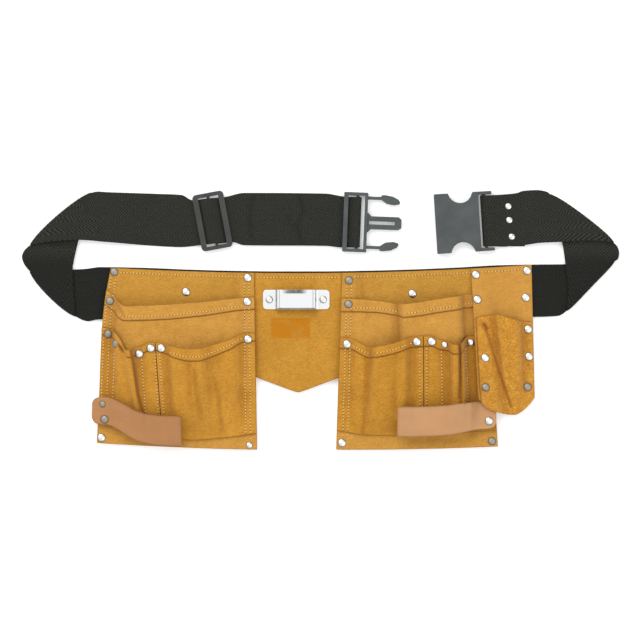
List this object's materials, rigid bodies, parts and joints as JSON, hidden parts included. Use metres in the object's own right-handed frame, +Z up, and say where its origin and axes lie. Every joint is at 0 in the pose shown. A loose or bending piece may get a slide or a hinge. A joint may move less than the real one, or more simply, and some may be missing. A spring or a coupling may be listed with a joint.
{
  "type": "nail apron",
  "caption": "Carpenter's leather nail apron on a folded web belt with an open buckle, lying flat: pockets, tool sleeves, hammer loops, a holster and a steel tool clip.",
  "frame": {"origin": "middle of the bounding box's footprint, at the table", "axes": "+X along the belt to the holster's side, +Y from the pouch bottoms to the belt, +Z up"},
  "size_m": [0.628, 0.2728, 0.0384],
  "materials": {
    "suede": "mustard split leather with a short nap, matt",
    "pale_leather": "smooth pale vegetable-tanned leather, satin",
    "webbing": "coarse black web, matt",
    "plastic": "dark grey moulded plastic, satin",
    "nickel": "nickel-plated steel, bright",
    "chrome": "chromed steel, polished"
  },
  "bodies": {
    "root": {"left_backing": "suede", "left_main_pocket": "suede", "left_front_pocket": "suede", "left_tool_sleeve": "suede", "right_backing": "suede", "right_main_pocket": "suede", "right_front_pocket": "suede", "right_tool_sleeve": "suede", "bib": "suede", "holster_back": "suede", "holster_pouch": "suede", "left_hammer_loop": "pale_leather", "right_hammer_loop": "pale_leather", "webbing": "webbing", "buckle_male": "plastic", "buckle_female": "plastic", "slide_adjuster": "plastic", "tool_clip": "chrome", "rivet_left_1": "nickel", "rivet_left_2": "nickel", "rivet_left_3": "nickel", "rivet_left_4": "nickel", "rivet_left_5": "nickel", "rivet_left_6": "nickel", "rivet_left_7": "nickel", "rivet_left_8": "nickel", "rivet_left_9": "nickel", "rivet_left_10": "nickel", "rivet_left_11": "nickel", "rivet_left_12": "nickel", "rivet_left_13": "nickel", "rivet_left_14": "nickel", "rivet_left_15": "nickel", "rivet_right_1": "nickel", "rivet_right_2": "nickel", "rivet_right_3": "nickel", "rivet_right_4": "nickel", "rivet_right_5": "nickel", "rivet_right_6": "nickel", "rivet_right_7": "nickel", "rivet_right_8": "nickel", "rivet_right_9": "nickel", "rivet_right_10": "nickel", "rivet_right_11": "nickel", "rivet_holster_1": "nickel", "rivet_holster_2": "nickel", "rivet_holster_3": "nickel", "rivet_holster_4": "nickel", "rivet_holster_5": "nickel", "rivet_holster_6": "nickel", "rivet_holster_7": "nickel", "rivet_holster_8": "nickel", "rivet_holster_9": "nickel", "rivet_belt_1": "nickel", "rivet_belt_2": "nickel", "rivet_belt_3": "nickel", "rivet_clip_1": "nickel", "rivet_clip_2": "nickel"}
  },
  "joints": []
}
